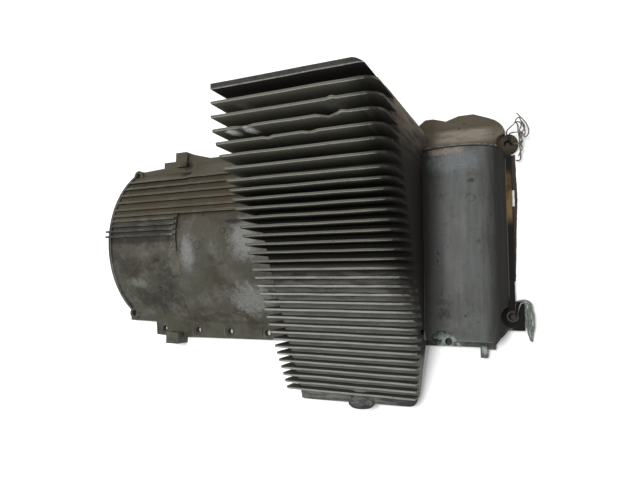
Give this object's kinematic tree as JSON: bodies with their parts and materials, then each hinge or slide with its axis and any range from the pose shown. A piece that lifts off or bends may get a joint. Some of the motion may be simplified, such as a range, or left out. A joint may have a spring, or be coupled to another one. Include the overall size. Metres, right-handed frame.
{
  "type": "engine oil pan",
  "caption": "Finned cast aluminium engine oil pan with a flywheel housing half, a deep leaning sump under parallel cooling fins, a rounded front pan and a side drain plug.",
  "frame": {"origin": "in the mating plane, midway between the two rear ear bolts, with the crankshaft axis over Y = 0", "axes": "+X from the flywheel end to the front end, +Y to the deep side of the sump, +Z away from the engine; the pan rests upside down on its mating flange, fins up"},
  "size_m": [0.6177, 0.369, 0.2382],
  "materials": {
    "cast_aluminium": "rough cast, oily and dusty",
    "plug_steel": "turned, dulled by oil",
    "washer_copper": "soft copper, dull",
    "gasket_cork": "cork and rubber, oil soaked",
    "wire_steel": "annealed, slightly rusty"
  },
  "bodies": {
    "root": {"pan_casting": "cast_aluminium", "drain_plug": "plug_steel", "drain_washer": "washer_copper", "front_gasket_strip": "gasket_cork", "upper_tie_wire": "wire_steel", "lower_tie_wire": "wire_steel"}
  },
  "joints": []
}
